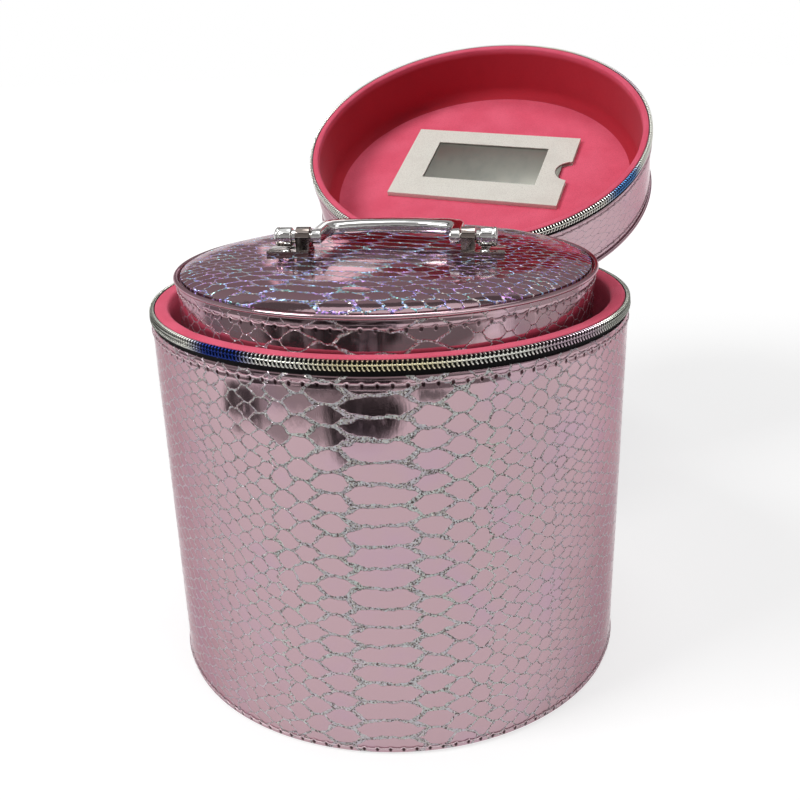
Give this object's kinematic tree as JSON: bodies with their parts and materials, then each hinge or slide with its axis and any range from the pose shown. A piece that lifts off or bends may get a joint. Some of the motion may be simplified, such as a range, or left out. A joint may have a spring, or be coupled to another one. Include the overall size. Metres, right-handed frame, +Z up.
{
  "type": "makeup train case",
  "caption": "Round zip-lidded cosmetics case in glossy pink scale-patterned synthetic leather, with a smaller matching case nested inside, folding handles and a mirror pocket.",
  "frame": {"origin": "centre of the large drum's base, on the surface it stands on", "axes": "+Z up along the drum; +Y to the rear, where the lids are hinged; +X to the right seen from the front"},
  "size_m": [0.2442, 0.4749, 0.3099],
  "materials": {
    "shell": "glossy foiled synthetic leather with a printed scale pattern",
    "velvet": "short-pile velvet",
    "board": "grey board",
    "foam": "padding foam",
    "tape": "woven zip tape",
    "coil": "plated coil",
    "hardware": "polished plating",
    "sleeve": "matt synthetic leather",
    "mirror": "mirror plate"
  },
  "bodies": {
    "outer_case": {"outer_base_board": "board", "outer_base_cover": "shell", "outer_wall_board": "board", "outer_wall_cover": "shell", "outer_wall_lining": "velvet", "outer_floor_lining": "velvet", "outer_lower_tape": "tape", "outer_lower_coil": "coil", "outer_lower_hinge": "shell"},
    "outer_lid": {"outer_lid_wall_board": "board", "outer_lid_wall_cover": "shell", "outer_lid_top_board": "board", "outer_lid_pad": "foam", "outer_lid_top_cover": "shell", "outer_lid_piping": "shell", "outer_lid_wall_lining": "velvet", "outer_lid_ceiling": "velvet", "outer_upper_tape": "tape", "outer_upper_coil": "coil", "outer_upper_hinge": "shell", "mirror_sleeve": "sleeve", "outer_handle_brackets": "hardware", "outer_handle_rivets": "hardware"},
    "outer_handle": {"outer_handle_pivots": "hardware", "outer_handle_grip": "hardware"},
    "mirror_plate": {"mirror": "mirror"},
    "outer_slider_r": {"outer_slider_right": "hardware"},
    "outer_slider_l": {"outer_slider_left": "hardware"},
    "outer_tab_r": {"outer_pull_right": "hardware"},
    "outer_tab_l": {"outer_pull_left": "hardware"},
    "inner_case": {"inner_base_board": "board", "inner_base_cover": "shell", "inner_wall_board": "board", "inner_wall_cover": "shell", "inner_wall_lining": "velvet", "inner_floor_lining": "velvet", "inner_lower_tape": "tape", "inner_lower_coil": "coil", "inner_lower_hinge": "shell"},
    "inner_lid": {"inner_lid_wall_board": "board", "inner_lid_wall_cover": "shell", "inner_lid_top_board": "board", "inner_lid_pad": "foam", "inner_lid_top_cover": "shell", "inner_lid_piping": "shell", "inner_lid_wall_lining": "velvet", "inner_lid_ceiling": "velvet", "inner_upper_tape": "tape", "inner_upper_coil": "coil", "inner_upper_hinge": "shell", "inner_handle_brackets": "hardware", "inner_handle_rivets": "hardware"},
    "inner_handle": {"inner_handle_pivots": "hardware", "inner_handle_grip": "hardware"},
    "inner_slider_a": {"inner_slider_rear": "hardware"},
    "inner_slider_b": {"inner_slider_front": "hardware"},
    "inner_tab_a": {"inner_pull_rear": "hardware"},
    "inner_tab_b": {"inner_pull_front": "hardware"}
  },
  "joints": [
    {"name": "outer_lid_hinge", "type": "hinge", "parent": "outer_case", "child": "outer_lid", "pos_m": [0, 0.1196, 0.194], "axis": [-1, 0, 0], "range_deg": [-151, 0]},
    {"name": "outer_handle_pivot", "type": "hinge", "parent": "outer_lid", "child": "outer_handle", "pos_m": [0, 0.25329, 0.19951], "axis": [1, 0, 0], "range_deg": [-61, 119]},
    {"name": "mirror_slide", "type": "slide", "parent": "outer_lid", "child": "mirror_plate", "axis": [0.9945, -0.0914, -0.0507], "range_m": [0, 0.03]},
    {"name": "outer_zip_right", "type": "hinge", "parent": "outer_case", "child": "outer_slider_r", "pos_m": [0, 0, 0.194], "axis": [0, 0, 1], "range_deg": [-150.51, 0]},
    {"name": "outer_zip_left", "type": "hinge", "parent": "outer_case", "child": "outer_slider_l", "pos_m": [0, 0, 0.194], "axis": [0, 0, -1], "range_deg": [-150.51, 0]},
    {"name": "outer_pull_right_swing", "type": "hinge", "parent": "outer_slider_r", "child": "outer_tab_r", "pos_m": [0.05414, 0.111, 0.194], "axis": [0.8988, -0.4384, 0], "range_deg": [0, 120]},
    {"name": "outer_pull_left_swing", "type": "hinge", "parent": "outer_slider_l", "child": "outer_tab_l", "pos_m": [-0.05414, 0.111, 0.194], "axis": [0.8988, 0.4384, 0], "range_deg": [0, 120]},
    {"name": "inner_case_lift", "type": "slide", "parent": "outer_case", "child": "inner_case", "axis": [0, 0, 1], "range_m": [0, 0.2]},
    {"name": "inner_lid_hinge", "type": "hinge", "parent": "inner_case", "child": "inner_lid", "pos_m": [-0.01436, 0.097, 0.167], "axis": [-0.9903, -0.1392, 0], "range_deg": [0, 25]},
    {"name": "inner_handle_pivot", "type": "hinge", "parent": "inner_lid", "child": "inner_handle", "pos_m": [0, -0.0052, 0.221], "axis": [0.9903, 0.1392, 0], "range_deg": [0, 180]},
    {"name": "inner_zip_rear", "type": "hinge", "parent": "inner_case", "child": "inner_slider_a", "pos_m": [0, -0.0052, 0.167], "axis": [0, 0, 1], "range_deg": [0, 20.03]},
    {"name": "inner_zip_front", "type": "hinge", "parent": "inner_case", "child": "inner_slider_b", "pos_m": [0, -0.0052, 0.167], "axis": [0, 0, -1], "range_deg": [0, 276.03]},
    {"name": "inner_pull_rear_swing", "type": "hinge", "parent": "inner_slider_a", "child": "inner_tab_a", "pos_m": [0.06865, 0.07654, 0.167], "axis": [0.7658, -0.6431, 0], "range_deg": [0, 20]},
    {"name": "inner_pull_front_swing", "type": "hinge", "parent": "inner_slider_b", "child": "inner_tab_b", "pos_m": [0.0793, 0.06627, 0.167], "axis": [0.6695, -0.7428, 0], "range_deg": [0, 20]}
  ]
}
